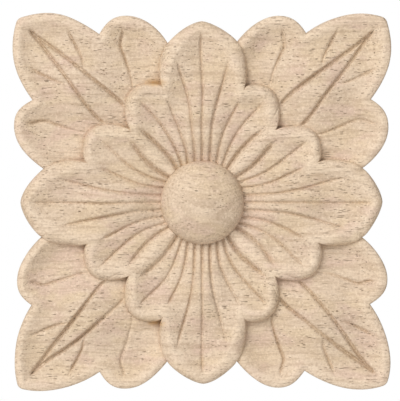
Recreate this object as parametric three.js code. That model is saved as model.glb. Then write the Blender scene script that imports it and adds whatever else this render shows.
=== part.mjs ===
// A square carved rosette applique, one piece of pale rubberwood with a flat back.
// Three layers rise from the back: four corner leaves of three lobes each, a fluted flower of twelve lobes
// over them, and a domed button in the middle.
// It is modelled lying on its back, plan across X and Y with the carving up, and then turned upright as it
// hangs on a wall: its front faces -Y, its top is towards +Z, and the origin is the middle of its flat back.
// Lengths are in millimetres.

import * as THREE from "three";
import { mergeVertices } from "three/addons/utils/BufferGeometryUtils.js";

// Plan
const side = 100; // the square that the corner leaves fill
const buttonRadius = 11.1;

// Heights from the flat back
const leafEdgeHeight = 8.4; // the upright edge of the leaves
const floorAtButton = 6.8; // the flower's floor where it meets the button

// Heights, each from the form below it
const petalEdgeRise = 0.3; // how much higher the edge stands at a petal's tip
const leafRimRise = 0.5; // from the top of the edge to the crest of the leaf's rounded rim
const leafHollow = 1.0; // from that crest down to the leaf's floor
const leafBelly = 2.0; // the swell in the middle of the leaf
const lobeScoop = 0.75; // the dish in its side lobe
const leafShade = 0.3; // how much deeper the leaf lies beside the flower
const notchPit = 1.0; // how much deeper still it is cut where two lobes of the flower meet
const floorClimb = 1.9; // how much the flower's floor climbs outwards
const petalCrown = 1.6; // how much higher it stands along the middle of a petal
const flowerLip = 1.1; // from the floor to the crest of the flower's rounded rim
const cushionRise = 0.3; // the swell between two flutes
const ribRise = 0.9; // the rounded rib on each diagonal
const buttonDome = 3.0; // the button's dome
const buttonStep = 3.2; // its side under the dome

// Widths in plan
const leafRimWidth = 1.8; // from the outline in to the crest of the leaf's rim
const leafSlope = 5.0; // from that crest in to the leaf's floor
const bellySpread = 8.8;
const scoopSpread = 6.4;
const shadeWidth = 1.6; // the deeper strip of leaf beside the flower
const pitRadius = 2.0;
const lipWidth = 5.0; // from the crest of the flower's rim in to its floor
const crownWidth = 5.2;

// Radii from the centre: where the floor's climb ends, and where the crown is full, fades and ends
const climbEnd = 30;
const crownFull = 19;
const crownFade = 25;
const crownEnd = 35;

// Distances from a petal's tip: the edge has its full rise up to the first and none beyond the second
const petalTipNear = 3;
const petalTipReach = 11;

// Lines cut with the gouge. Each runs out between endFrom and endTo, its distances from the crest or the edge.
// A vein begins at a distance from the flower.
const flute = { halfWidth: 0.5, depth: 0.45, endFrom: 0.4, endTo: 2.6 };
const deepFlute = { halfWidth: 0.9, depth: 0.65, endFrom: 0.4, endTo: 4.0 };
const midrib = { halfWidth: 0.85, depth: 0.9, endFrom: 3.7, endTo: 4.6, begin: 0 };
const sideVein = { halfWidth: 0.65, depth: 0.6, endFrom: 2.4, endTo: 4.8, begin: 0 };
const tipVein = { halfWidth: 0.7, depth: 0.7, endFrom: 2.0, endTo: 5.0, begin: 12 };
const veinBegin = 1.6; // the first stretch of a vein, where it gets its depth

// Shape of the cuts, as powers of a superellipse or of the distance
const rimPower = 1.8; // the flower's rim
const notchPower = 5; // the same where two lobes meet, as far as notchReach
const notchReach = 2.6;
const rollPower = 1.6; // the leaf's rim
const dishPower = 1.6; // the fall inside a rim's crest
const domePower = 1.8;
const stepPower = 8;

// Facets
const domeShares = [0.45, 0.8, 0.95]; // rings on the button, closest where its dome rolls over
const floorRings = 4;
const rimRings = 4;
const widestShoulder = 0.4; // of the gap between two lines that one groove's side may take
const touching = 0.001; // points closer than this are one point
const rimShoulder = 0.25; // of the leaf rim's width, where one ring holds its rounding
const narrowLeaf = { shade: 0.25, slope: 0.5, rim: 0.3, shoulder: 0.1 }; // most shares of its width

const half = side / 2;
const octants = 8;
const { clamp, degToRad, lerp, smoothstep } = THREE.MathUtils;

// A point of the plan, given in shares of half the side, across and up from the centre.
const spot = ([across, up]) => new THREE.Vector2(across * half, up * half);

// An outline of one octant, clockwise from the middle of the top petal to the diagonal, as cubic curves.
// Each further entry holds a curve's two handles and its end.
function outline(start, ...curves) {
  const path = new THREE.CurvePath();
  let from = start;
  for (const [leave, arrive, to] of curves) {
    path.add(new THREE.CubicBezierCurve(spot(from), spot(leave), spot(arrive), spot(to)));
    from = to;
  }
  return path;
}

const petalTip = [0, 0.962];
const petalTipCurve = [[0.046, 0.958], [0.128, 0.912], [0.184, 0.8475]];

// The whole applique from the front: the petal's tip, then the leaf's side lobe, its tip lobe and corner.
const edge = outline(
  petalTip,
  petalTipCurve,
  [[0.223, 0.901], [0.307, 0.988], [0.408, 0.988]],
  [[0.477, 0.988], [0.509, 0.954], [0.545, 0.895]],
  [[0.657, 0.975], [0.795, 1.029], [0.955, 0.983]],
  [[0.963, 0.9805], [0.969, 0.976], [0.9725, 0.9725]],
);

// The foot of the flower's rim: the petal's tip and side, then the shoulder lobe's top and side.
const foot = outline(
  petalTip,
  petalTipCurve,
  [[0.2245, 0.7955], [0.2435, 0.715], [0.221, 0.6227]],
  [[0.265, 0.644], [0.371, 0.641], [0.403, 0.556]],
  [[0.419, 0.514], [0.419, 0.452], [0.392, 0.392]],
);

// The crest of the flower's rim.
const crest = outline(
  [0, 0.914],
  [[0.069, 0.901], [0.18, 0.784], [0.183, 0.625]],
  [[0.183, 0.5935], [0.188, 0.572], [0.196, 0.559]],
  [[0.2385, 0.5856], [0.334, 0.62], [0.358, 0.5405]],
  [[0.368, 0.505], [0.342, 0.419], [0.366, 0.366]],
);

// Where two lobes of the flower meet, and the middles of the leaf's belly and of the scoop in its side lobe
const notches = [[0.221, 0.6227], [0.392, 0.392]];
const belly = [0.626, 0.626];
const scoop = [0.33, 0.775];

// Lines that run out from the button to the edge, clockwise round one octant.
// turn: the angle at which it leaves the button, in degrees, and bow: how far it first bends back.
// crest, foot, edge: where it crosses an outline, as the curve's number plus the share of that curve.
// bends: points that it passes on the leaf.
// flute, vein: what is cut along it on the flower and on the leaf.
// columns: facets from this line to the next.
const lines = [
  { turn: 0, bow: 0, crest: 0, foot: 0, edge: 0, flute, columns: 3 },
  { turn: 7, bow: 2, crest: 0.46, foot: 1, edge: 1, columns: 2 },
  { turn: 10, bow: 2.7, crest: 0.53, foot: 1.16, edge: 1.2, flute, columns: 4 },
  {
    turn: 20, bow: 3.3, crest: 2, foot: 2, edge: 1.52, flute, columns: 5,
    bends: [[0.27, 0.731]],
  },
  {
    turn: 28.8, bow: 4.1, crest: 2.88, foot: 2.71, edge: 2.13, flute, vein: sideVein, columns: 4,
    bends: [[0.378, 0.669], [0.411, 0.768], [0.432, 0.822], [0.431, 0.861], [0.421, 0.904]],
  },
  {
    turn: 31.5, bow: 3.6, crest: 3.15, foot: 3, edge: 3, columns: 3,
    bends: [[0.488, 0.742]],
  },
  {
    turn: 34.1, bow: 2.9, crest: 3.42, foot: 3.11, edge: 3.47, vein: tipVein, columns: 4,
    bends: [[0.503, 0.657], [0.594, 0.692], [0.631, 0.718], [0.637, 0.757], [0.656, 0.805], [0.711, 0.918]],
  },
  {
    turn: 36.8, bow: 2.2, crest: 3.74, foot: 3.25, edge: 3.93, flute: deepFlute, vein: midrib, columns: 3,
    bends: [[0.477, 0.576], [0.643, 0.708], [0.762, 0.798], [0.848, 0.8585], [0.906, 0.9105]],
  },
  { turn: 45, bow: 0, crest: 4, foot: 4, edge: 5 },
];

// The turns of the flutes as far as the second deep one, which is the first one mirrored in the diagonal.
const fluteTurns = lines.filter((line) => line.flute).map((line) => line.turn);
const ribFrom = fluteTurns.at(-1);
fluteTurns.push(90 - ribFrom);

// Distance along an outline to a place on it.
function distanceTo(path, place) {
  const number = Math.min(Math.floor(place), path.curves.length - 1);
  const before = number ? path.getCurveLengths()[number - 1] : 0;
  return before + (place - number) * path.curves[number].getLength();
}

// The stretch of an outline from one place to another, as a function of the share of its length.
function stretch(path, from, to) {
  const whole = path.getLength();
  const start = distanceTo(path, from) / whole;
  const end = distanceTo(path, to) / whole;
  return (share) => path.getPoint(Math.min(1, lerp(start, end, share)));
}

function polar(radius, angle) {
  return new THREE.Vector2(radius * Math.sin(angle), radius * Math.cos(angle));
}

const pointOn = (path, place) => stretch(path, place, place)(0);
const angleOf = (point) => Math.atan2(point.x, point.y);

// A line's way over the flower, from the button to the crest. It bends back most at a third of the way.
function overFlower(line) {
  const start = degToRad(line.turn);
  const end = pointOn(crest, line.crest);
  const fullBow = 27 / 4; // makes the greatest bend equal to the line's bow
  return (share) => {
    const bend = fullBow * share * (1 - share) ** 2 * degToRad(line.bow);
    return polar(lerp(buttonRadius, end.length(), share), lerp(start, angleOf(end), share) - bend);
  };
}

// A line's way over the leaf, from the flower's foot to the edge.
function overLeaf(line) {
  const from = pointOn(foot, line.foot);
  const to = pointOn(edge, line.edge);
  if (from.distanceTo(to) < touching) return () => from;
  const way = new THREE.SplineCurve([from, ...(line.bends ?? []).map(spot), to]);
  return (share) => way.getPointAt(share);
}

// A point of the four-sided patch between two lines and the two outlines that they join.
function patch(inner, outer, left, right, across, along) {
  return new THREE.Vector2()
    .addScaledVector(inner(across), 1 - along)
    .addScaledVector(outer(across), along)
    .addScaledVector(left(along), 1 - across)
    .addScaledVector(right(along), across)
    .addScaledVector(inner(0), -(1 - across) * (1 - along))
    .addScaledVector(inner(1), -across * (1 - along))
    .addScaledVector(outer(0), -(1 - across) * along)
    .addScaledVector(outer(1), -across * along);
}

// How far across, from 0 at one line to 1 at the next, a column stands where the lines are a gap apart:
// the first on the line, then one at the shoulder of each groove and the others evenly between.
function acrossAt(column, columns, firstGroove, nextGroove, gap) {
  if (column === 0) return 0;
  const shoulder = (groove) => Math.min(groove.halfWidth / gap, widestShoulder);
  const start = firstGroove ? shoulder(firstGroove) : 1 / columns;
  const end = 1 - (nextGroove ? shoulder(nextGroove) : 1 / columns);
  if (columns === 2) return firstGroove ? start : end;
  return lerp(start, end, (column - 1) / (columns - 2));
}

// 1 at a middle point, falling to nothing about two spreads away.
const mound = (plan, middle, spread) => Math.exp(-((spot(middle).distanceTo(plan) / spread) ** 2));
const nearNotch = (plan, reach) => Math.max(...notches.map((notch) => mound(plan, notch, reach)));

// 1 at a rim's crest, falling to 0 at a distance inside it, steeply at first and then ever more gently.
const dish = (distance, width) => (1 - clamp(distance / width, 0, 1)) ** dishPower;

// Height of the flower's floor, without its flutes and lip. It climbs from the button and is crowned along
// the middle of the petal.
function floorHeight(plan) {
  const radius = plan.length();
  const out = clamp((radius - buttonRadius) / (climbEnd - buttonRadius), 0, 1);
  const climb = Math.sin((Math.PI / 2) * out);
  const along = smoothstep(radius, buttonRadius, crownFull) * (1 - smoothstep(radius, crownFade, crownEnd));
  const crown = along * Math.exp(-((plan.x / crownWidth) ** 2));
  return floorAtButton + floorClimb * climb + petalCrown * crown;
}

// The swell between two flutes, or the rib between the two deep ones, by the turn at the button in degrees.
function swellAt(turn) {
  const next = Math.max(1, fluteTurns.findIndex((fluteTurn) => fluteTurn >= turn));
  const across = (turn - fluteTurns[next - 1]) / (fluteTurns[next] - fluteTurns[next - 1]);
  return (turn > ribFrom ? ribRise : cushionRise) * Math.sin(Math.PI * across);
}

// Height of the button over the flower's floor, by the share of its radius: a low dome on an upright side.
function buttonHeight(out) {
  return buttonDome * (1 - out ** domePower) + buttonStep * Math.sqrt(1 - out ** stepPower);
}

// Height of the leaf without its veins. At a petal's tip it is only the top of the edge, which stands higher.
function leafHeight(plan, fromEdge, fromFlower) {
  const nearTip = 1 - smoothstep(plan.distanceTo(spot(petalTip)), petalTipNear, petalTipReach);
  const roundness = clamp(1 - fromEdge / leafRimWidth, 0, 1);
  const rim = leafEdgeHeight + petalEdgeRise * nearTip + leafRimRise * (1 - roundness ** rollPower);
  const inside = 1 - dish(fromEdge - leafRimWidth, leafSlope);
  const swell = leafBelly * mound(plan, belly, bellySpread) - lobeScoop * mound(plan, scoop, scoopSpread);
  const beside = clamp(1 - fromFlower / shadeWidth, 0, 1) ** 2;
  const deeper = leafShade * beside + notchPit * nearNotch(plan, pitRadius);
  return rim + (swell - leafHollow) * inside - deeper * (1 - roundness);
}

// Depth of a gouge line, which runs out towards the crest or the edge.
const grooveDepth = (groove, fromEnd) => groove.depth * smoothstep(fromEnd, groove.endFrom, groove.endTo);

const at = (plan, height) => new THREE.Vector3(plan.x, plan.y, height);

// One column of points, from the button's foot ring out to the edge. It stands between two lines.
function columnPoints(first, next, column) {
  const onLine = column === 0;
  const across = (gap, carved) => acrossAt(column, first.columns, first[carved], next[carved], gap);
  const button = (share) => polar(buttonRadius, degToRad(lerp(first.turn, next.turn, share)));
  const onCrest = stretch(crest, first.crest, next.crest);
  const onFoot = stretch(foot, first.foot, next.foot);
  const onEdge = stretch(edge, first.edge, next.edge);

  // The floor of the flower, out to the crest.
  const floor = [overFlower(first), overFlower(next)];
  const floorLength = floor[0](0).distanceTo(floor[0](1));
  const floorInsets = [lipWidth, lipWidth / 2, 0];
  for (let ring = 1; ring <= floorRings; ring += 1) {
    floorInsets.unshift(lerp(lipWidth, floorLength, ring / floorRings));
  }
  const points = floorInsets.map((fromCrest) => {
    const along = 1 - fromCrest / floorLength;
    const share = across(floor[0](along).distanceTo(floor[1](along)), "flute");
    const plan = patch(button, onCrest, floor[0], floor[1], share, along);
    const lip = dish(fromCrest, lipWidth);
    const swell = swellAt(lerp(first.turn, next.turn, share)) * (1 - lip);
    const cut = onLine && first.flute ? grooveDepth(first.flute, fromCrest) : 0;
    return at(plan, floorHeight(plan) + flowerLip * lip + swell - cut);
  });

  // The leaf, from the flower's foot out to the edge.
  const leaf = [overLeaf(first), overLeaf(next)];
  const footShare = across(leaf[0](0).distanceTo(leaf[1](0)), "vein");
  const leafLength = onFoot(footShare).distanceTo(onEdge(footShare));
  const shadeEnd = leafLength - Math.min(shadeWidth, narrowLeaf.shade * leafLength);
  const slopeEnd = Math.min(leafRimWidth + leafSlope, narrowLeaf.slope * leafLength);
  const leafInsets = [
    leafLength,
    shadeEnd,
    (shadeEnd + slopeEnd) / 2,
    slopeEnd,
    Math.min(leafRimWidth, narrowLeaf.rim * leafLength),
    Math.min(leafRimWidth * rimShoulder, narrowLeaf.shoulder * leafLength),
    0,
  ];
  const leafPoints = leafInsets.map((fromEdge) => {
    const along = leafLength > 0 ? 1 - fromEdge / leafLength : 1;
    const share = across(leaf[0](along).distanceTo(leaf[1](along)), "vein");
    const plan = patch(onFoot, onEdge, leaf[0], leaf[1], share, along);
    const fromFlower = leafLength - fromEdge;
    const begun = first.vein ? smoothstep(fromFlower, first.vein.begin, first.vein.begin + veinBegin) : 0;
    const cut = onLine && first.vein ? grooveDepth(first.vein, fromEdge) * begun : 0;
    return at(plan, leafHeight(plan, fromEdge, fromFlower) - cut);
  });

  // The flower's rounded rim, a quarter of a superellipse down from the crest to the foot.
  const top = points.at(-1);
  const bottom = leafPoints[0];
  const power = lerp(rimPower, notchPower, nearNotch(bottom, notchReach));
  for (let ring = 1; ring < rimRings; ring += 1) {
    const angle = (ring / rimRings) * (Math.PI / 2);
    const point = top.clone().lerp(bottom, Math.sin(angle) ** (2 / power));
    point.z = lerp(bottom.z, top.z, Math.cos(angle) ** (2 / power));
    points.push(point);
  }
  return [...points, ...leafPoints];
}

// The button's part of a column, from near its top down to its foot ring.
function dome(footPoint) {
  return domeShares.map((out) => {
    const point = footPoint.clone().multiplyScalar(out);
    return point.setZ(floorAtButton + buttonHeight(out));
  });
}

// Every column of one octant, with the one on the diagonal last.
function octantColumns() {
  const columns = [];
  for (let number = 0; number < lines.length - 1; number += 1) {
    for (let column = 0; column < lines[number].columns; column += 1) {
      columns.push(columnPoints(lines[number], lines[number + 1], column));
    }
  }
  const last = lines.length - 1;
  const mirrored = { ...lines[last], columns: lines[last - 1].columns };
  columns.push(columnPoints(mirrored, lines[last - 1], 0));
  return columns.map((points) => [...dome(points[0]), ...points]);
}

// The octant's columns all the way round: mirrored in each diagonal and turned to each petal.
function allColumns() {
  const octant = octantColumns();
  const perOctant = octant.length - 1;
  const quarterTurn = -Math.PI / 2;
  const axis = new THREE.Vector3(0, 0, 1);
  return Array.from({ length: octants * perOctant }, (_, number) => {
    const quarter = Math.floor(number / (2 * perOctant));
    const step = number % (2 * perOctant);
    const mirror = step > perOctant;
    return octant[mirror ? 2 * perOctant - step : step].map((point) => {
      const placed = mirror ? new THREE.Vector3(point.y, point.x, point.z) : point.clone();
      return placed.applyAxisAngle(axis, quarter * quarterTurn);
    });
  });
}

// The closed body: facets between the columns, a fan at the button's top and one over the flat back.
function appliqueGeometry() {
  const columns = allColumns().map((points) => {
    const onBack = points.at(-1).clone().setZ(0);
    return [...points, onBack];
  });
  const rings = columns[0].length;
  const top = new THREE.Vector3(0, 0, floorAtButton + buttonHeight(0));
  const back = new THREE.Vector3(0, 0, 0);
  const corners = [];
  columns.forEach((points, number) => {
    const following = columns[(number + 1) % columns.length];
    corners.push(top, following[0], points[0]);
    for (let ring = 0; ring < rings - 1; ring += 1) {
      corners.push(points[ring], following[ring], following[ring + 1]);
      corners.push(points[ring], following[ring + 1], points[ring + 1]);
    }
    corners.push(back, points[rings - 1], following[rings - 1]);
  });
  return withoutSlivers(new THREE.BufferGeometry().setFromPoints(corners));
}

// The geometry with shared points merged, and without the facets that shrank to nothing at the petals' tips.
function withoutSlivers(geometry) {
  const merged = mergeVertices(geometry, touching);
  const kept = [];
  for (let start = 0; start < merged.index.count; start += 3) {
    const [a, b, c] = merged.index.array.slice(start, start + 3);
    if (a !== b && b !== c && c !== a) kept.push(a, b, c);
  }
  merged.setIndex(kept);
  merged.computeVertexNormals();
  return merged;
}

const wood = new THREE.MeshStandardMaterial({ color: 0xd6bea3, roughness: 0.75, metalness: 0 });

const applique = new THREE.Mesh(appliqueGeometry(), wood);
applique.name = "carved_applique";
applique.rotation.x = Math.PI / 2;

const group = new THREE.Group();
group.add(applique);

export default group;
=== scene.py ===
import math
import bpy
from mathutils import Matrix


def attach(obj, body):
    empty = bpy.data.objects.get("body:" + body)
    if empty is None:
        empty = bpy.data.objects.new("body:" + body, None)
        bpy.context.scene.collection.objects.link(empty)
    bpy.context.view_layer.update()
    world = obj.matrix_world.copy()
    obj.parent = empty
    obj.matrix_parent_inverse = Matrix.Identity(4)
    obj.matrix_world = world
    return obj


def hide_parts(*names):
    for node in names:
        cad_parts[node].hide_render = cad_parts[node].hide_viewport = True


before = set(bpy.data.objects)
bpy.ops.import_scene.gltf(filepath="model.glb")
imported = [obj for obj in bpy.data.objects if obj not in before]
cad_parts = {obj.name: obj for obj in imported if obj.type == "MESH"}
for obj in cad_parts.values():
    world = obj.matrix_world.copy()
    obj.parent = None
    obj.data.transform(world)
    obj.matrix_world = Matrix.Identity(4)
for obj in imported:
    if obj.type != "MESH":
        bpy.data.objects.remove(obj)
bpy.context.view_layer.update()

# A square carved rosette applique of bare rubberwood, hung upright on its flat back.
# The visual piece keeps the solid's plan and thickness. Its hollows are deeper, its lip is higher, and its
# pits and the cut beside the flower are shallower. It adds the finer relief: rounded rims, gouge lines with
# soft shoulders, swells between the flutes, small differences of handwork, and the wood itself.
# The carving is worked out lying down, in millimetres: u to the right, v up and h out of the back.

from types import SimpleNamespace

import bmesh
import bpy
import numpy as np
from mathutils import Vector

NODE = "carved_applique"
MM = 0.001

# Plan
SIDE = 100.0
HALF = SIDE / 2
BUTTON_RADIUS = 11.1

# Heights from the flat back: the upright edge of the leaves, and the flower's floor at the button
LEAF_EDGE_HEIGHT = 8.4
FLOOR_HEIGHT = 6.8

# Heights, each from the form below it: how much higher the edge stands at a petal's tip, the leaf's rim, the
# hollow inside that, the leaf's belly, the scoop in its side lobe, the cut beside the flower, the pits at the
# flower's notches, the floor's climb outwards, the crown along each petal, the flower's lip, and the button's
# dome and upright side.
PETAL_EDGE_RISE = 0.3
LEAF_RIM_RISE = 0.5
LEAF_HOLLOW = 1.45
LEAF_BELLY = 2.2
LOBE_SCOOP = 0.75
LEAF_SHADE = 0.15
NOTCH_PIT = 0.55
FLOOR_CLIMB = 1.7
PETAL_CROWN = 1.6
FLOWER_LIP = 1.55
BUTTON_DOME = 3.0
BUTTON_STEP = 3.2

# Widths in plan, and radii from the centre
LEAF_RIM_WIDTH = 1.8
LEAF_SLOPE = 5.0
BELLY_SPREAD = 8.8
SCOOP_SPREAD = 6.4
SHADE_WIDTH = 1.6
PIT_RADIUS = 2.0
LIP_WIDTH = 5.6
CLIMB_END = 30.0
CROWN_WIDTH = 5.2
CROWN_FULL = 19.0
CROWN_FADE = 25.0
CROWN_END = 35.0
PETAL_TIP_NEAR = 3.0
PETAL_TIP_REACH = 11.0

# Lines cut with the gouge. Each runs out between end_from and end_to, distances from the crest or the edge.
# A flute takes at most the share widest of the flutes' spacing. A vein begins at a distance from the flower,
# with the share start of its strength.
FLUTE = dict(half_width=0.68, depth=0.45, end_from=0.4, end_to=2.6, widest=0.32)
DEEP_FLUTE = dict(half_width=1.0, depth=0.65, end_from=0.4, end_to=4.0, widest=0.42)
MIDRIB = dict(half_width=0.92, depth=0.9, end_from=3.7, end_to=4.6, begin=-0.6, start=0.8)
SIDE_VEIN = dict(half_width=0.75, depth=0.62, end_from=2.4, end_to=4.8, begin=-0.4, start=0.5)
TIP_VEIN = dict(half_width=0.85, depth=0.72, end_from=2.0, end_to=5.0, begin=13.4, start=0.6)

# Heights of the swell between two flutes, and of the rib between the two deep ones
CUSHION_RISE = 0.3
RIB_RISE = 0.9

# Rings of the mesh from the button out
DOME_RINGS = 22
FLOOR_RINGS = 22
LIP_FOOT_RINGS = 5
LIP_RINGS = 12
RIM_RINGS = 14
SHADE_RINGS = 8
HOLLOW_RINGS = 19
SLOPE_RINGS = 9
LEAF_RIM_RINGS = 11
WALL_RINGS = 3

# Columns beside a groove, in shares of half its width, and the most of the gap between two lines they take
GROOVE_MARKS = np.array([0.33, 0.67, 1.0, 1.5])
WIDEST_GROOVE = 0.4

# How far inside the lip its foot begins, where the rings get closer
LIP_FOOT_WIDTH = 2.0

# The most of a narrow leaf's width that is given to its cut beside the flower, its slope and its rim
MOST_SHADE = 0.25
MOST_SLOPE = 0.5
MOST_RIM = 0.3

# Points along a line's way, and how many points at a time are measured against one
WAY_SAMPLES = 160
BEND_SAMPLES = 60
POINTS_AT_ONCE = 500

# The least length, in millimetres, and the least squared one that anything is divided by
LEAST_LENGTH = 0.001
LEAST_SQUARE = 1e-12

# Shape of the cuts. The flower's rim falls as a quarter of a superellipse, squarest at the notches. Inside a
# rim's crest the wood falls steeply at first and then ever more gently. The arris rounds the leaf's edge. A
# vein sets in over the first of its two distances and gains its strength over the second.
RIM_POWER = 2.1
NOTCH_POWER = 5.0
NOTCH_REACH = 2.6
ROLL_POWER = 1.6
ARRIS_RADIUS = 0.6
DISH_POWER = 1.6
DOME_POWER = 1.8
STEP_POWER = 8
THINNEST_CUT = 0.02
VEIN_BEGIN = 1.6
VEIN_GROWTH = 8.0

# Small bevel round the back
BACK_CORNER = 0.2

# Handwork: how far it strays in plan and height, how much a cut's depth varies, and over what distance. Each
# wave's length is that distance times a share within the spread. The tool's small facets are finer.
HAND_PLAN = 0.22
HAND_HEIGHT = 0.06
HAND_CUT = 0.2
HAND_REACH = 20.0
FACET_HEIGHT = 0.025
FACET_REACH = 4.0
REACH_SPREAD = (0.7, 1.5)

# How far wear and its painted highlight reach from a crest, and how far the piece stays inside the square
WEAR_AND_HIGHLIGHT_WIDTH = 1.1
FIT_GAP = 0.02

# Mesh clean-up, in metres and degrees
SAME_PLACE = 1e-6
SHARP_ANGLE = 50

# Wood, in linear colour
PALE_WOOD = (0.713, 0.56, 0.413, 1)
YELLOW_WOOD = (0.693, 0.535, 0.367, 1)
ROSE_WOOD = (0.673, 0.498, 0.383, 1)
LAYER_WOOD = (0.45, 0.32, 0.215, 1)
FIBRE_WOOD = (0.47, 0.34, 0.235, 1)
END_WOOD = (0.56, 0.42, 0.29, 1)
# Pale colour of worn wood, which also paints a highlight on crests; the pale torn dots use it too
WEAR_AND_HIGHLIGHT_WOOD = (0.84, 0.68, 0.515, 1)
# Partly the brown that the cutter leaves in a cut, partly painted shade in the grooves
CUT_STAIN_AND_SHADE_WOOD = (0.40, 0.27, 0.16, 1)
PORE_WOOD = (0.23, 0.14, 0.08, 1)
SCORCHED_WOOD = (0.52, 0.30, 0.10, 1)

# The growth layers are rings round a line along X, which passes the piece here. Their waves are this high, in
# millimetres.
PITH = (0, -8, -2)
LAYER_WAVE = 4.5

# Cells of the wood's patterns in each millimetre. Those of the first three are along X and through the growth
# layers, those of the next ones along X, Y and Z, and those of the last two the same every way.
BAND_CELLS = (0.012, 0.25)
LINE_CELLS = (0.14, 1.3)
HAIR_CELLS = (0.012, 0.4)
WAVE_CELLS = (0.03, 0.08, 0.08)
FIBRE_CELLS = (0.5, 3.6, 3.6)
WARM_CELLS = (0.09, 0.2, 0.2)
ROSY_CELLS = (0.11, 0.2, 0.2)
CROWD_CELLS = (0.05, 0.16, 0.16)
TORN_CELLS = 1.6
FUZZ_CELLS = 2.6

# How many cells the rosy tone is moved, so that it differs from the warm one
ROSY_SHIFT = (50, 0, 0)

# Where each pattern starts to show and where it shows in full
WHOLE_SPAN = (0, 1)
END_GRAIN_SPAN = (0.1, 0.6)
STEEP_SPAN = (0.96, 0.75)
WARM_SPAN = (0.4, 0.65)
ROSY_SPAN = (0.48, 0.7)
BAND_SPAN = (0.45, 0.7)
LINE_SPAN = (0.5, 0.64)
HAIRLINE_SPAN = (0.035, 0.0)
FIBRE_SPAN = (0.48, 0.7)
DARK_DOT_SPAN = (0.5, 0.66)
PALE_DOT_SPAN = (0.45, 0.32)
CUT_STAIN_AND_SHADE_SPAN = (0.2, 0.7)
BROKEN_SPAN = (0.35, 0.6)

# How much of its colour each pattern mixes in. A pair is for flat and for steep wood, but the pores' pair is
# for fresh wood and for wood that is worn and painted pale as a highlight. The broken shares are what the
# torn dots leave of a cut's brown stain and painted shade.
WEAR_AND_HIGHLIGHT_SHARE = 0.5
BAND_SHARE = 0.18
LINE_SHARES = (0.42, 0.15)
HAIRLINE_SHARE = 0.35
FIBRE_SHARE = 0.45
END_GRAIN_SHARE = 0.15
DARK_DOT_SHARES = (0.5, 0.8)
PALE_DOT_SHARE = 0.6
CUT_STAIN_AND_SHADE_SHARE = 0.55
BROKEN_SHARES = (0.4, 1.0)
PORE_SHARES = (0.75, 0.4)
SCORCH_SHARE = 0.75
NOTCH_SHADE_SHARE = 0.8

# Pores by size: cells in each millimetre along X, Y and Z, the pore's radius in cells, how much of the wood
# they leave free, and a shift. A pore is darkest within its core, a share of its radius. The edges tell how
# far from the share left free a crowd of pores begins and is full.
PORES = [
    ((0.14, 1.8, 1.8), 0.18, 0.5, 0.0),
    ((0.27, 2.4, 2.4), 0.19, 0.44, 40.0),
    ((0.09, 1.5, 1.5), 0.13, 0.53, 80.0),
]
PORE_CORE = 0.6
CROWD_EDGES = (-0.04, 0.08)

# Scorch marks left by a hot cutter, and spots of painted shade in the deepest notches: place across and up,
# and radius, in millimetres. They are stretched along the grain, and fade between two shares of the radius.
SCORCHES = [(-12.6, 31.6, 2.6), (-12.3, -31.8, 2.2)]
NOTCH_SHADE_SPOTS = [(10.7, 31.5, 0.6), (-19.5, 18.8, 0.6), (-31.4, 11.7, 0.5), (-27.2, 43.2, 0.5)]
MARK_STRETCH = (0.5, 0, 1.5)
MARK_EDGES = (1.3, 0.5)

# The wood's surface: how much each pattern raises or sinks it, its gloss, and the height of it all in metres
FIBRE_RELIEF = 0.5
FUZZ_RELIEFS = (0.15, 0.6)
LINE_RELIEF = 0.3
PORE_RELIEF = 0.8
BUMP_HEIGHT = 0.0002
ROUGHNESS_SPAN = (0.3, 0.7)
ROUGHNESSES = (0.68, 0.82)
SPECULAR = 0.3

# Studio, in metres and degrees, with the camera's target in millimetres on the piece. A light has a name, a
# place, the width of its disk and its watts.
CAMERA_AZIMUTH = -2
CAMERA_ELEVATION = 3
CAMERA_DISTANCE = 0.5912
CAMERA_TARGET = (-0.5, -4, 0.37)
LENS = 200
SENSOR = 36
LIGHTS = [
    ("key", (-1.75, -2.3, 1.85), 2.4, 101.0),
    ("front", (0.8, -2.1, -0.6), 1.6, 14.0),
    ("back", (0.4, 2.0, 1.0), 1.2, 20.0),
]
WHITE = (1, 1, 1, 1)
AROUND_STRENGTH = 0.36
FLOOR_LEVEL = -0.25
FLOOR_RADIUS = 0.6
FLOOR_SEGMENTS = 96
FLOOR_COLOUR = (0.8, 0.79, 0.77, 1)
FLOOR_ROUGHNESS = 0.8


def lerp(a, b, share):
    return a + (b - a) * share


def smoothstep(value, low, high):
    share = np.clip((value - low) / (high - low), 0, 1)
    return share * share * (3 - 2 * share)


def spot(across, up):
    return np.array([across, up]) * HALF


class Outline:
    """Cubic curves end to end, read by their length. Their points are shares of half the side."""

    samples = 240

    def __init__(self, start, *curves):
        share = np.linspace(0, 1, self.samples + 1)[:, None]
        begin = spot(*start)
        points = [begin[None, :]]
        for leave, arrive, end in curves:
            a, b, c = spot(*leave), spot(*arrive), spot(*end)
            early = begin * (1 - share) ** 3 + 3 * a * share * (1 - share) ** 2
            late = 3 * b * share**2 * (1 - share) + c * share**3
            points.append((early + late)[1:])
            begin = c
        self.points = np.concatenate(points)
        steps = np.linalg.norm(np.diff(self.points, axis=0), axis=1)
        self.reach = np.concatenate([[0], np.cumsum(steps)])
        self.joints = self.reach[:: self.samples]

    def distance(self, place):
        number = min(int(place), len(self.joints) - 2)
        return lerp(self.joints[number], self.joints[number + 1], place - number)

    def point(self, distance):
        axes = [np.interp(distance, self.reach, self.points[:, axis]) for axis in (0, 1)]
        return np.stack(axes, axis=-1)

    def stretch(self, first, last):
        start, end = self.distance(first), self.distance(last)
        return lambda share: self.point(lerp(start, end, np.asarray(share)))

    def from_curve(self, number):
        return self.points[number * self.samples :]


PETAL_TIP = (0, 0.962)
PETAL_TIP_CURVE = ((0.046, 0.958), (0.128, 0.912), (0.184, 0.8475))

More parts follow.
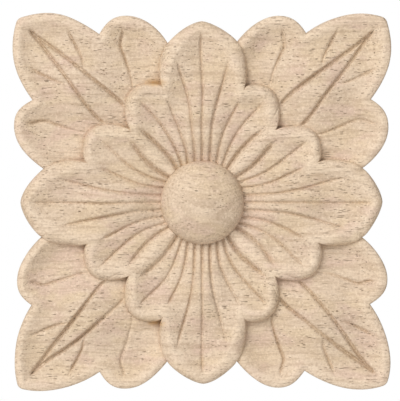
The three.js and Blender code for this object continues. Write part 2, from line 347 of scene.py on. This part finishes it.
EDGE = Outline(
    PETAL_TIP,
    PETAL_TIP_CURVE,
    ((0.223, 0.901), (0.307, 0.988), (0.408, 0.988)),
    ((0.477, 0.988), (0.509, 0.954), (0.545, 0.895)),
    ((0.657, 0.975), (0.795, 1.029), (0.955, 0.983)),
    ((0.963, 0.9805), (0.969, 0.976), (0.9725, 0.9725)),
)
FOOT = Outline(
    PETAL_TIP,
    PETAL_TIP_CURVE,
    ((0.2245, 0.7955), (0.2435, 0.715), (0.221, 0.6227)),
    ((0.265, 0.644), (0.371, 0.641), (0.403, 0.556)),
    ((0.419, 0.514), (0.419, 0.452), (0.392, 0.392)),
)
CREST = Outline(
    (0, 0.914),
    ((0.069, 0.901), (0.18, 0.784), (0.183, 0.625)),
    ((0.183, 0.5935), (0.188, 0.572), (0.196, 0.559)),
    ((0.2385, 0.5856), (0.334, 0.62), (0.358, 0.5405)),
    ((0.368, 0.505), (0.342, 0.419), (0.366, 0.366)),
)
NOTCHES = [spot(0.221, 0.6227), spot(0.392, 0.392)]
BELLY = spot(0.626, 0.626)
SCOOP = spot(0.33, 0.775)

# Lines that run out from the button to the edge, clockwise round one octant, as in the solid.
# turn is the angle at which a line leaves the button and bow how far it first bends back, in degrees.
# crest, foot and edge say where it crosses an outline: the curve's number plus the share of that curve.
LINES = [
    dict(turn=0, bow=0, crest=0, foot=0, edge=0, flute=FLUTE, columns=14),
    dict(turn=7, bow=2, crest=0.46, foot=1, edge=1, columns=6),
    dict(turn=10, bow=2.7, crest=0.53, foot=1.16, edge=1.2, flute=FLUTE, columns=16),
    dict(turn=20, bow=3.3, crest=2, foot=2, edge=1.52, flute=FLUTE, columns=14),
    dict(turn=28.8, bow=4.1, crest=2.88, foot=2.71, edge=2.13, flute=FLUTE, vein=SIDE_VEIN, columns=13),
    dict(turn=31.5, bow=3.6, crest=3.15, foot=3, edge=3, columns=12),
    dict(turn=34.1, bow=2.9, crest=3.42, foot=3.11, edge=3.47, vein=TIP_VEIN, columns=14),
    dict(turn=36.8, bow=2.2, crest=3.74, foot=3.25, edge=3.93, flute=DEEP_FLUTE, vein=MIDRIB, columns=10),
    dict(turn=45, bow=0, crest=4, foot=4, edge=5),
]
FLUTE_TURNS = [line["turn"] for line in LINES if "flute" in line]
RIB_TURNS = [FLUTE_TURNS[-1], 90 - FLUTE_TURNS[-1]]

# Points that a line passes on the leaf, by its turn
LEAF_BENDS = {
    20: [(0.27, 0.731)],
    28.8: [(0.378, 0.669), (0.411, 0.768), (0.432, 0.822), (0.431, 0.861), (0.421, 0.904)],
    31.5: [(0.488, 0.742)],
    34.1: [
        (0.503, 0.657), (0.594, 0.692), (0.631, 0.718),
        (0.637, 0.757), (0.656, 0.805), (0.711, 0.918),
    ],
    36.8: [(0.477, 0.576), (0.643, 0.708), (0.762, 0.798), (0.848, 0.8585), (0.906, 0.9105)],
}


def polar(radius, angle):
    return np.stack([radius * np.sin(angle), radius * np.cos(angle)], axis=-1)


def over_flower(line):
    """A line's way from the button to the crest. It bends back most at a third of the way."""
    start = math.radians(line["turn"])
    end = CREST.point(CREST.distance(line["crest"]))
    end_turn = math.atan2(end[0], end[1])
    # This makes the bend's greatest value the line's whole bow
    full_bow = 27 / 4

    def way(share):
        bend = full_bow * share * (1 - share) ** 2 * math.radians(line["bow"])
        return polar(lerp(BUTTON_RADIUS, np.linalg.norm(end), share), lerp(start, end_turn, share) - bend)

    return way


def over_leaf(line):
    """A line's way from the flower's foot to the edge, a smooth curve through its bends."""
    first = FOOT.point(FOOT.distance(line["foot"]))
    last = EDGE.point(EDGE.distance(line["edge"]))
    bends = [spot(*bend) for bend in LEAF_BENDS.get(line["turn"], [])]
    knots = np.array([first, first, *bends, last, last])
    share = np.linspace(0, 1, BEND_SAMPLES)[:, None]
    points = [first[None, :]]
    for before, start, end, after in zip(knots, knots[1:], knots[2:], knots[3:]):
        leave, arrive = (end - before) / 2, (after - start) / 2
        cubic = (2 * start - 2 * end + leave + arrive) * share**3
        square = (3 * end - 3 * start - 2 * leave - arrive) * share**2
        points.append((cubic + square + leave * share + start)[1:])
    points = np.concatenate(points)
    reach = np.concatenate([[0], np.cumsum(np.linalg.norm(np.diff(points, axis=0), axis=1))])

    def way(share):
        at = np.asarray(share) * reach[-1]
        return np.stack([np.interp(at, reach, points[:, axis]) for axis in (0, 1)], axis=-1)

    return way


def patch(inner, outer, left, right, across, along):
    """Points of the four-sided patch between two lines and the two outlines that they join."""
    a, t = across[:, None], along[:, None]
    sides = inner(across) * (1 - t) + outer(across) * t + left(along) * (1 - a) + right(along) * a
    corners = (inner(0) * (1 - a) + inner(1) * a) * (1 - t) + (outer(0) * (1 - a) + outer(1) * a) * t
    return sides - corners


def across_shares(columns, first_groove, next_groove, gap):
    """Where the columns stand between two lines, ring by ring: close beside a groove, even elsewhere."""
    gap = np.maximum(gap, LEAST_LENGTH)[:, None]

    def beside(groove):
        if groove is None:
            return np.empty((len(gap), 0))
        marks = GROOVE_MARKS * groove["half_width"] / gap
        return marks * np.minimum(1, WIDEST_GROOVE / marks[:, -1:])

    lead = np.concatenate([np.zeros((len(gap), 1)), beside(first_groove)], axis=1)
    trail = 1 - np.concatenate([np.zeros((len(gap), 1)), beside(next_groove)], axis=1)[:, ::-1]
    count = columns + 1 - lead.shape[1] - trail.shape[1]
    even = np.arange(1, count + 1) / (count + 1)
    middle = lerp(lead[:, -1:], trail[:, :1], even)
    return np.concatenate([lead, middle, trail], axis=1)


def steps(*stops):
    """Distances from stop to stop, each given as (distance, rings that lead to it)."""
    values = [np.array([stops[0][0]])]
    for (start, _), (end, rings) in zip(stops, stops[1:]):
        values.append(np.linspace(start, end, rings + 1)[1:])
    return np.concatenate(values)


def floor_insets(length):
    """Distances from the crest, from the button out, closer at the lip's foot and on the lip."""
    lip_foot = LIP_WIDTH + LIP_FOOT_WIDTH
    return steps((length, 0), (lip_foot, FLOOR_RINGS), (LIP_WIDTH, LIP_FOOT_RINGS), (0, LIP_RINGS))


def leaf_insets(length):
    """Distances from the edge, from the flower's foot out, closest where the rim rounds over."""
    shade_end = length - min(SHADE_WIDTH, MOST_SHADE * length)
    slope_end = min(LEAF_RIM_WIDTH + LEAF_SLOPE, MOST_SLOPE * length)
    rim_start = min(LEAF_RIM_WIDTH, MOST_RIM * length)
    level = steps((length, 0), (shade_end, SHADE_RINGS), (slope_end, HOLLOW_RINGS), (rim_start, SLOPE_RINGS))
    turn = np.linspace(math.pi / 2, 0, LEAF_RIM_RINGS + 1)[1:]
    return np.concatenate([level, rim_start * (1 - np.cos(turn))])


def distance_to(points, way):
    """Distance from each point of the plan to a way given as a row of points."""
    start, run = way[:-1], np.diff(way, axis=0)
    squared = np.maximum((run**2).sum(axis=1), LEAST_SQUARE)
    flat = points.reshape(-1, 2)
    nearest = np.empty(len(flat))
    for low in range(0, len(flat), POINTS_AT_ONCE):
        some = slice(low, low + POINTS_AT_ONCE)
        offset = flat[some, None, :] - start[None]
        share = np.clip((offset * run).sum(axis=2) / squared, 0, 1)
        gap = offset - share[..., None] * run
        nearest[some] = np.sqrt((gap**2).sum(axis=2).min(axis=1))
    return nearest.reshape(points.shape[:-1])


def floor_height(plan):
    """The flower's floor without flutes and lip. It climbs from the button and is crowned along a petal."""
    radius = np.linalg.norm(plan, axis=-1)
    climb = np.sin(math.pi / 2 * np.clip((radius - BUTTON_RADIUS) / (CLIMB_END - BUTTON_RADIUS), 0, 1))
    along = smoothstep(radius, BUTTON_RADIUS, CROWN_FULL) * smoothstep(radius, CROWN_END, CROWN_FADE)
    crown = along * np.exp(-((plan[..., 0] / CROWN_WIDTH) ** 2))
    return FLOOR_HEIGHT + FLOOR_CLIMB * climb + PETAL_CROWN * crown


def button_height(out):
    """The button above the floor, a low dome that rolls over at its edge, by the share of its radius."""
    return BUTTON_DOME * (1 - out**DOME_POWER) + BUTTON_STEP * math.sqrt(1 - out**STEP_POWER)


def swell(turn):
    """The swell between two flutes, or the rib between the two deep ones, by the turn at the button."""
    stops = [*FLUTE_TURNS, RIB_TURNS[1]]
    between = np.abs(np.sin(math.pi * np.interp(turn, stops, np.arange(len(stops)))))
    return np.where(turn > RIB_TURNS[0], RIB_RISE, CUSHION_RISE) * between


def dish(distance, width):
    """1 at a rim's crest, falling to 0 at a distance inside it."""
    return (1 - np.clip(distance / width, 0, 1)) ** DISH_POWER


def mound(plan, middle, spread):
    """1 at a middle point, falling to nothing about two spreads away."""
    return np.exp(-((np.linalg.norm(plan - middle, axis=-1) / spread) ** 2))


def near_notch(plan, reach):
    return np.maximum(*[mound(plan, notch, reach) for notch in NOTCHES])


def leaf_height(plan, from_edge, from_foot):
    """The leaf without its veins. At the petal's tip it is only the top of the edge, which stands higher."""
    from_tip = np.linalg.norm(plan - spot(*PETAL_TIP), axis=-1)
    edge = LEAF_EDGE_HEIGHT + PETAL_EDGE_RISE * smoothstep(from_tip, PETAL_TIP_REACH, PETAL_TIP_NEAR)
    roundness = np.clip(1 - from_edge / LEAF_RIM_WIDTH, 0, 1)
    rim = edge + LEAF_RIM_RISE * (1 - roundness**ROLL_POWER)
    arris = np.clip(1 - from_edge / ARRIS_RADIUS, 0, 1)
    rim = rim - ARRIS_RADIUS * (1 - np.sqrt(1 - arris**2))
    inside = 1 - dish(from_edge - LEAF_RIM_WIDTH, LEAF_SLOPE)
    belly = LEAF_BELLY * mound(plan, BELLY, BELLY_SPREAD)
    scoop = LOBE_SCOOP * mound(plan, SCOOP, SCOOP_SPREAD)
    beside = np.clip(1 - from_foot / SHADE_WIDTH, 0, 1) ** 2
    deeper = LEAF_SHADE * beside + NOTCH_PIT * near_notch(plan, PIT_RADIUS)
    return rim + (belly - scoop - LEAF_HOLLOW) * inside - deeper * (1 - roundness)


def groove_cut(distance, strength, groove, widest=np.inf):
    """Depth of a gouge line: it narrows and gets shallower together where its strength falls."""
    half_width = np.maximum(np.minimum(groove["half_width"], widest) * np.sqrt(strength), THINNEST_CUT)
    open_share = np.clip(distance / half_width, 0, 1)
    shallower = np.minimum(1, widest / groove["half_width"])
    return groove["depth"] * strength * shallower * (0.5 + 0.5 * np.cos(math.pi * open_share))


def way_length(way):
    runs = np.diff(way(np.linspace(0, 1, WAY_SAMPLES)), axis=0)
    return np.linalg.norm(runs, axis=1).sum()


def zone(inner, outer, ways, grooves, columns, insets):
    """Points between two lines, rings by columns, and how far across each of them stands."""
    lengths = [way_length(way) for way in ways]
    points, shares = [], []
    for column in range(columns + 1):
        length = lerp(*lengths, column / columns)
        along = 1 - insets(length) / max(length, LEAST_LENGTH)
        gap = np.linalg.norm(ways[0](along) - ways[1](along), axis=1)
        share = across_shares(columns, *grooves, gap)[:, column]
        points.append(patch(inner, outer, *ways, share, along))
        shares.append(share)
    return np.stack(points, axis=1), np.stack(shares, axis=1)


def octant_plan():
    """Plan of one octant: the floor with each point's turn, and the leaf. The diagonal comes last."""
    floor, turns, leaf = [], [], []
    for first, following in zip(LINES, LINES[1:]):

        def button(share):
            return polar(BUTTON_RADIUS, np.radians(lerp(first["turn"], following["turn"], np.asarray(share))))

        pair = (first, following)
        columns = first["columns"]
        flutes = [line.get("flute") for line in pair]
        veins = [line.get("vein") for line in pair]
        on_crest, on_foot, on_edge = [
            outline.stretch(first[name], following[name])
            for outline, name in ((CREST, "crest"), (FOOT, "foot"), (EDGE, "edge"))
        ]
        floor_ways = [over_flower(line) for line in pair]
        leaf_ways = [over_leaf(line) for line in pair]
        points, shares = zone(button, on_crest, floor_ways, flutes, columns, floor_insets)
        leaf_points, _ = zone(on_foot, on_edge, leaf_ways, veins, columns, leaf_insets)
        kept = columns + 1 if following is LINES[-1] else columns
        floor.append(points[:, :kept])
        turns.append(lerp(first["turn"], following["turn"], shares[:, :kept]))
        leaf.append(leaf_points[:, :kept])
    return [np.concatenate(parts, axis=1) for parts in (floor, turns, leaf)]


def carve_floor(plan, turns):
    """Height of the flower's floor, the depth of the flutes in it, and its wear and painted highlight."""
    from_crest = distance_to(plan, CREST.points)
    lip = dish(from_crest, LIP_WIDTH)
    height = floor_height(plan) + FLOWER_LIP * lip + swell(turns) * (1 - lip)
    spacing = np.linalg.norm(plan, axis=-1) * math.radians(FLUTE_TURNS[1])
    cut = np.zeros_like(height)
    for line in LINES:
        if "flute" in line:
            flute = line["flute"]
            way = over_flower(line)(np.linspace(0, 1, WAY_SAMPLES))
            strength = smoothstep(from_crest, flute["end_from"], flute["end_to"])
            this_cut = groove_cut(distance_to(plan, way), strength, flute, flute["widest"] * spacing)
            cut = np.maximum(cut, this_cut)
    # The rib's top is painted paler, as a highlight
    rib = np.where(turns > RIB_TURNS[0], swell(turns) / RIB_RISE, 0)
    return height, cut, np.maximum(wear_and_highlight_near(from_crest), rib * (1 - lip))


def wear_and_highlight_near(distance):
    """Wear from handling, and a painted highlight: 1 on a crest, fading on both sides."""
    return np.exp(-((distance / WEAR_AND_HIGHLIGHT_WIDTH) ** 2))


def carve_leaf(plan):
    """Height of the leaf, the depth of the veins in it, and its wear and painted highlight."""
    from_edge = distance_to(plan, EDGE.from_curve(1))
    from_foot = distance_to(plan, FOOT.from_curve(1))
    height = leaf_height(plan, from_edge, from_foot)
    cut = np.zeros_like(height)
    for line in LINES:
        if "vein" in line:
            vein = line["vein"]
            way = over_leaf(line)(np.linspace(0, 1, WAY_SAMPLES))
            inner_end = smoothstep(from_foot, vein["begin"], vein["begin"] + VEIN_BEGIN)
            growth = lerp(vein["start"], 1, np.clip((from_foot - vein["begin"]) / VEIN_GROWTH, 0, 1))
            strength = inner_end * growth * smoothstep(from_edge, vein["end_from"], vein["end_to"])
            cut = np.maximum(cut, groove_cut(distance_to(plan, way), strength, vein))
    inside_rim = np.maximum(from_edge - LEAF_RIM_WIDTH, 0)
    return height, cut, wear_and_highlight_near(inside_rim) * smoothstep(from_foot, 0, LEAF_RIM_WIDTH)


def octant():
    """One octant as rings by columns of (u, v, height, cut, wear and painted highlight), from the button's
    top down to the back.
    """
    floor_plan, turns, leaf_plan = octant_plan()
    floor = np.dstack([floor_plan, *carve_floor(floor_plan, turns)])
    leaf = np.dstack([leaf_plan, *carve_leaf(leaf_plan)])

    dome = []
    outward = floor_plan[0] / BUTTON_RADIUS
    for angle in np.linspace(0, math.pi / 2, DOME_RINGS + 1)[1:-1]:
        plan = outward * BUTTON_RADIUS * math.sin(angle)
        height = floor_height(floor_plan[0]) + button_height(math.sin(angle))
        dome.append(np.column_stack([plan, height, np.zeros((len(plan), 2))]))

    rim = []
    crest, foot = floor[-1], leaf[0]
    power = lerp(RIM_POWER, NOTCH_POWER, near_notch(foot[:, :2], NOTCH_REACH))
    for angle in np.linspace(0, math.pi / 2, RIM_RINGS + 1)[1:-1]:
        ring = lerp(crest, foot, math.sin(angle) ** (2 / power[:, None]))
        ring[:, 2] = lerp(foot[:, 2], crest[:, 2], math.cos(angle) ** (2 / power))
        rim.append(ring)

    wall = []
    for height in np.linspace(LEAF_EDGE_HEIGHT, BACK_CORNER, WALL_RINGS + 1)[1:]:
        ring = leaf[-1].copy()
        ring[:, 2] = height
        wall.append(ring)
    back = leaf[-1].copy()
    back[:, :2] *= 1 - BACK_CORNER / HALF
    back[:, 2] = 0
    return np.concatenate([np.array(dome), floor, np.array(rim), leaf, np.array([*wall, back])])


def all_round(rings):
    """The octant mirrored in its diagonal and turned clockwise to all four petals."""
    swapped = [1, 0, 2, 3, 4]
    mirrored = rings[:, :0:-1][..., swapped]
    quarter = np.concatenate([rings[:, :-1], mirrored], axis=1)
    quarters = [quarter]
    for _ in range(3):
        quarter = quarter[..., swapped] * [1, -1, 1, 1, 1]
        quarters.append(quarter)
    return np.concatenate(quarters, axis=1)


def unevenness(u, v, wavelength, seed, waves=7):
    """What a hand-guided tool adds: smooth seeded waves over the plan, mostly between -1 and 1."""
    random = np.random.default_rng(seed)
    total = np.zeros_like(u)
    for _ in range(waves):
        heading, phase = random.uniform(0, 2 * math.pi, 2)
        length = wavelength * random.uniform(*REACH_SPREAD)
        total += np.sin(2 * math.pi * (u * math.cos(heading) + v * math.sin(heading)) / length + phase)
    return total / math.sqrt(waves)


def by_hand(rings):
    """The carving with a hand's small differences: places in metres, cut depths, and wear and painted
    highlight.
    """
    u, v, height, cut, wear_and_highlight = np.moveaxis(rings, -1, 0)
    radius = np.hypot(u, v)
    outside = smoothstep(radius, BUTTON_RADIUS, 2 * BUTTON_RADIUS)
    plan_u = u + HAND_PLAN * outside * unevenness(u, v, HAND_REACH, seed=1)
    plan_v = v + HAND_PLAN * outside * unevenness(u, v, HAND_REACH, seed=2)
    fit = (HALF - FIT_GAP) / max(np.abs(plan_u).max(), np.abs(plan_v).max())
    cut = cut * (1 + HAND_CUT * unevenness(u, v, HAND_REACH, seed=3))
    on_front = smoothstep(height, LEAF_EDGE_HEIGHT, LEAF_EDGE_HEIGHT + LEAF_RIM_RISE)
    waves = outside * HAND_HEIGHT * unevenness(u, v, HAND_REACH / 2, seed=4)
    facets = smoothstep(radius, 0, BUTTON_RADIUS) * FACET_HEIGHT * unevenness(u, v, FACET_REACH, seed=5)
    height = height + on_front * (waves + facets) - cut
    return np.stack([plan_u * fit, -height, plan_v * fit], axis=-1) * MM, cut, wear_and_highlight


def carving():
    """The carved piece as one closed mesh. It keeps the cut depth and the wear with its painted highlight,
    for the wood's colour, where the cut depth also paints shade in the grooves.
    """
    places, cut, wear_and_highlight = by_hand(all_round(octant()))
    rings, columns = cut.shape
    number = np.arange(rings * columns).reshape(rings, columns)
    following = np.roll(number, -1, axis=1)
    quads = np.stack([number[:-1], following[:-1], following[1:], number[1:]], axis=-1).reshape(-1, 4)
    top, back = rings * columns, rings * columns + 1
    top_fan = [(top, b, a) for a, b in zip(number[0].tolist(), following[0].tolist())]
    back_fan = [(back, a, b) for a, b in zip(number[-1].tolist(), following[-1].tolist())]
    top_height = FLOOR_HEIGHT + button_height(0)
    points = [*places.reshape(-1, 3).tolist(), (0, -top_height * MM, 0), (0, 0, 0)]

    mesh = bpy.data.meshes.new("carved_applique_wood")
    mesh.from_pydata(points, [], quads.tolist() + top_fan + back_fan)
    for name, values in (("cut", cut), ("wear_and_highlight", wear_and_highlight)):
        attribute = mesh.attributes.new(name, "FLOAT", "POINT")
        attribute.data.foreach_set("value", np.append(values.ravel(), [0, 0]).astype(np.float32))

    body = bmesh.new()
    body.from_mesh(mesh)
    bmesh.ops.remove_doubles(body, verts=body.verts, dist=SAME_PLACE)
    bmesh.ops.dissolve_degenerate(body, edges=body.edges, dist=SAME_PLACE)
    body.to_mesh(mesh)
    body.free()
    mesh.shade_smooth()
    mesh.set_sharp_from_angle(angle=math.radians(SHARP_ANGLE))
    piece = bpy.data.objects.new("carved_applique_wood", mesh)
    bpy.context.scene.collection.objects.link(piece)
    return piece


class Shader:
    """Short ways to add nodes to a material. An input is a plain value or another node's output."""

    def __init__(self, name):
        self.material = bpy.data.materials.new(name)
        self.material.use_nodes = True
        self.tree = self.material.node_tree
        self.tree.nodes.clear()

    def add(self, kind, inputs, output=0, **settings):
        node = self.tree.nodes.new(kind)
        for name, value in settings.items():
            setattr(node, name, value)
        for name, value in inputs.items():
            if isinstance(value, bpy.types.NodeSocket):
                self.tree.links.new(value, node.inputs[name])
            else:
                node.inputs[name].default_value = value
        return node.outputs[output]

    def math(self, operation, a, b=0.0):
        return self.add("ShaderNodeMath", {0: a, 1: b}, operation=operation)

    def times(self, a, b):
        return self.math("MULTIPLY", a, b)

    def scaled(self, vector, factors):
        return self.add("ShaderNodeVectorMath", {0: vector, 1: factors}, operation="MULTIPLY")

    def moved(self, vector, offset):
        return self.add("ShaderNodeVectorMath", {0: vector, 1: offset}, operation="ADD")

    def noise(self, vector, scale=1.0, detail=2.0, roughness=0.5):
        inputs = {"Vector": vector, "Scale": scale, "Detail": detail, "Roughness": roughness}
        return self.add("ShaderNodeTexNoise", inputs)

    def between(self, value, span, shares=(0.0, 1.0)):
        """A smooth change from the first share to the second while the value crosses the span."""
        start, end = span
        first, last = shares
        inputs = {"Value": value, "From Min": start, "From Max": end, "To Min": first, "To Max": last}
        return self.add("ShaderNodeMapRange", inputs, interpolation_type="SMOOTHSTEP")

    def mix(self, share, a, b):
        return self.add("ShaderNodeMix", {0: share, 6: a, 7: b}, output=2, data_type="RGBA")

    def length(self, vector):
        return self.add("ShaderNodeVectorMath", {0: vector}, output="Value", operation="LENGTH")

    def separate(self, vector):
        return self.add("ShaderNodeSeparateXYZ", {0: vector}).node.outputs

    def attribute(self, name):
        return self.add("ShaderNodeAttribute", {}, output="Fac", attribute_name=name)

    def finish(self, surface):
        """The material, with these inputs of its surface."""
        shaded = self.add("ShaderNodeBsdfPrincipled", surface)
        last = self.tree.nodes.new("ShaderNodeOutputMaterial")
        self.tree.links.new(shaded, last.inputs["Surface"])
        return self.material


def wood_pores(shader, place):
    """Open pores: short dark dashes along the grain, small dots where the surface faces along it."""
    pore = 0.0
    for cells, radius, free, shift in PORES:
        at = shader.moved(shader.scaled(place, cells), (shift,) * 3)
        inputs = {"Vector": at, "Scale": 1.0, "Randomness": 1.0}
        near = shader.add("ShaderNodeTexVoronoi", inputs, output="Distance")
        crowd = shader.noise(shader.moved(shader.scaled(place, CROWD_CELLS), (shift,) * 3), detail=2)
        inside = shader.between(near, (radius, radius * PORE_CORE))
        crowded = shader.between(crowd, [free + edge for edge in CROWD_EDGES])
        pore = shader.math("MAXIMUM", pore, shader.times(inside, crowded))
    return pore


def wood_patterns(shader, place):
    """The patterns in the wood. Its growth layers are rings with slow waves."""
    add, noise, between, times = shader.add, shader.noise, shader.between, shader.times
    x = shader.separate(place)[0]
    facing = shader.separate(add("ShaderNodeTexCoord", {}, output="Normal"))
    wave = noise(shader.scaled(place, WAVE_CELLS), detail=5, roughness=0.55)
    from_pith = shader.moved(shader.scaled(place, (0, 1, 1)), tuple(-value for value in PITH))
    layer = shader.math("ADD", shader.length(from_pith), times(wave, LAYER_WAVE))

    def layered(cells, **settings):
        along, through = cells
        return noise(add("ShaderNodeCombineXYZ", {0: times(x, along), 1: times(layer, through)}), **settings)

    hair = layered(HAIR_CELLS, detail=1)
    return SimpleNamespace(
        end_grain=between(shader.math("ABSOLUTE", facing[0]), END_GRAIN_SPAN),
        steep=between(shader.math("ABSOLUTE", facing[1]), STEEP_SPAN),
        band=layered(BAND_CELLS, detail=2),
        line=layered(LINE_CELLS, detail=4, roughness=0.6),
        hairline=between(shader.math("ABSOLUTE", shader.math("SUBTRACT", hair, 0.5)), HAIRLINE_SPAN),
        fibre=noise(shader.scaled(place, FIBRE_CELLS), detail=3, roughness=0.65),
        torn=noise(place, scale=TORN_CELLS, detail=3, roughness=0.7),
        fuzz=noise(place, scale=FUZZ_CELLS, detail=4, roughness=0.7),
        warm=noise(shader.scaled(place, WARM_CELLS), detail=2),
        rosy=noise(shader.moved(shader.scaled(place, ROSY_CELLS), ROSY_SHIFT), detail=2),
        pore=wood_pores(shader, place),
        wear_and_highlight=shader.attribute("wear_and_highlight"),
        cut=shader.attribute("cut"),
    )


def wood_colour(shader, place, wood):
    """Slow changes of tone, wear with a painted highlight, then grain, torn dots, cuts with their painted
    shade, pores, scorch marks and spots of painted shade in the notches, each over the ones before.
    """
    between, mix, times = shader.between, shader.mix, shader.times
    colour = mix(between(wood.warm, WARM_SPAN), PALE_WOOD, YELLOW_WOOD)
    colour = mix(between(wood.rosy, ROSY_SPAN), colour, ROSE_WOOD)
    # Wear and painted highlight: crests, the leaf's rim and the rib's top are paler than the hollows
    colour = mix(times(wood.wear_and_highlight, WEAR_AND_HIGHLIGHT_SHARE), colour, WEAR_AND_HIGHLIGHT_WOOD)
    colour = mix(between(wood.band, BAND_SPAN, (0, BAND_SHARE)), colour, LAYER_WOOD)
    lines = times(between(wood.line, LINE_SPAN), between(wood.steep, WHOLE_SPAN, LINE_SHARES))
    colour = mix(lines, colour, LAYER_WOOD)
    colour = mix(times(wood.hairline, HAIRLINE_SHARE), colour, LAYER_WOOD)
    colour = mix(between(wood.fibre, FIBRE_SPAN, (0, FIBRE_SHARE)), colour, FIBRE_WOOD)
    colour = mix(times(wood.end_grain, END_GRAIN_SHARE), colour, END_WOOD)
    dark_dots = times(between(wood.torn, DARK_DOT_SPAN), between(wood.steep, WHOLE_SPAN, DARK_DOT_SHARES))
    colour = mix(dark_dots, colour, FIBRE_WOOD)
    colour = mix(between(wood.torn, PALE_DOT_SPAN, (0, PALE_DOT_SHARE)), colour, WEAR_AND_HIGHLIGHT_WOOD)
    broken = between(wood.torn, BROKEN_SPAN, BROKEN_SHARES)
    # Cuts darken by their depth: partly the cutter's brown stain, partly painted shade in the grooves
    colour = mix(times(between(wood.cut, CUT_STAIN_AND_SHADE_SPAN, (0, CUT_STAIN_AND_SHADE_SHARE)), broken), colour, CUT_STAIN_AND_SHADE_WOOD)
    colour = mix(times(wood.pore, between(wood.wear_and_highlight, WHOLE_SPAN, PORE_SHARES)), colour, PORE_WOOD)
    # Scorch marks in their own orange-brown, then spots of painted shade in the deepest notches, in the
    # pores' dark colour
    for marks, tint, share in ((SCORCHES, SCORCHED_WOOD, SCORCH_SHARE), (NOTCH_SHADE_SPOTS, PORE_WOOD, NOTCH_SHADE_SHARE)):
        for across, up, radius in marks:
            from_mark = shader.scaled(shader.moved(place, (-across, 0, -up)), MARK_STRETCH)
            ragged = shader.math("ADD", shader.length(from_mark), times(wood.torn, radius))
            inside = between(ragged, [edge * radius for edge in MARK_EDGES])
            colour = mix(times(inside, share), colour, tint)
    return colour


def wood_relief(shader, wood):
    """Raised fibres and lines, the fuzz of torn end grain, and open pores."""
    times = shader.times
    fuzz = times(wood.fuzz, shader.between(wood.steep, WHOLE_SPAN, FUZZ_RELIEFS))
    height = shader.math("ADD", times(wood.fibre, FIBRE_RELIEF), fuzz)
    height = shader.math("ADD", height, times(wood.line, LINE_RELIEF))
    height = shader.math("SUBTRACT", height, times(wood.pore, PORE_RELIEF))
    return shader.add("ShaderNodeBump", {"Strength": 1.0, "Distance": BUMP_HEIGHT, "Height": height})


def rubberwood():
    """Bare rubberwood: the grain runs along X, and slopes cut the growth layers in arcs."""
    shader = Shader("rubberwood")
    place = shader.scaled(shader.add("ShaderNodeTexCoord", {}, output="Object"), (1 / MM,) * 3)
    wood = wood_patterns(shader, place)
    return shader.finish({
        "Base Color": wood_colour(shader, place, wood),
        "Roughness": shader.between(wood.line, ROUGHNESS_SPAN, ROUGHNESSES),
        "Specular IOR Level": SPECULAR,
        "Normal": wood_relief(shader, wood),
    })


def camera():
    """A long lens almost square on to the front, a little to the left and a little from above."""
    azimuth, elevation = math.radians(CAMERA_AZIMUTH), math.radians(CAMERA_ELEVATION)
    away = Vector((
        math.sin(azimuth) * math.cos(elevation),
        -math.cos(azimuth) * math.cos(elevation),
        math.sin(elevation),
    ))
    target = Vector(CAMERA_TARGET) * MM
    lens = bpy.data.cameras.new("camera")
    lens.sensor_width = SENSOR
    lens.lens = LENS
    body = bpy.data.objects.new("camera", lens)
    body.location = target + away * CAMERA_DISTANCE
    body.rotation_euler = (-away).to_track_quat("-Z", "Y").to_euler()
    bpy.context.scene.collection.objects.link(body)
    bpy.context.scene.camera = body


def area_light(name, place, size, watts):
    light = bpy.data.lights.new(name, "AREA")
    light.shape = "DISK"
    light.size = size
    light.energy = watts
    lamp = bpy.data.objects.new(name, light)
    lamp.location = place
    lamp.rotation_euler = (-Vector(place)).to_track_quat("-Z", "Y").to_euler()
    bpy.context.scene.collection.objects.link(lamp)


def studio():
    """Soft light from the upper left, even light from all round, and a pale floor well below the piece."""
    for name, place, size, watts in LIGHTS:
        area_light(name, place, size, watts)
    world = bpy.data.worlds.new("studio")
    world.use_nodes = True
    nodes, links = world.node_tree.nodes, world.node_tree.links
    nodes.clear()
    around, seen = nodes.new("ShaderNodeBackground"), nodes.new("ShaderNodeBackground")
    around.inputs["Color"].default_value = WHITE
    around.inputs["Strength"].default_value = AROUND_STRENGTH
    seen.inputs["Color"].default_value = WHITE
    mixed, path = nodes.new("ShaderNodeMixShader"), nodes.new("ShaderNodeLightPath")
    links.new(path.outputs["Is Camera Ray"], mixed.inputs[0])
    links.new(around.outputs[0], mixed.inputs[1])
    links.new(seen.outputs[0], mixed.inputs[2])
    links.new(mixed.outputs[0], nodes.new("ShaderNodeOutputWorld").inputs["Surface"])
    bpy.context.scene.world = world
    bpy.context.scene.view_settings.view_transform = "Standard"

    plate = bmesh.new()
    bmesh.ops.create_circle(plate, cap_ends=True, segments=FLOOR_SEGMENTS, radius=FLOOR_RADIUS)
    mesh = bpy.data.meshes.new("studio_floor")
    plate.to_mesh(mesh)
    plate.free()
    floor = bpy.data.objects.new("studio_floor", mesh)
    floor.location.z = FLOOR_LEVEL
    bpy.context.scene.collection.objects.link(floor)
    matt = Shader("studio_floor").finish({"Base Color": FLOOR_COLOUR, "Roughness": FLOOR_ROUGHNESS})
    mesh.materials.append(matt)


camera()
studio()
piece = carving()
piece.data.materials.append(rubberwood())
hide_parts(NODE)
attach(piece, "root")
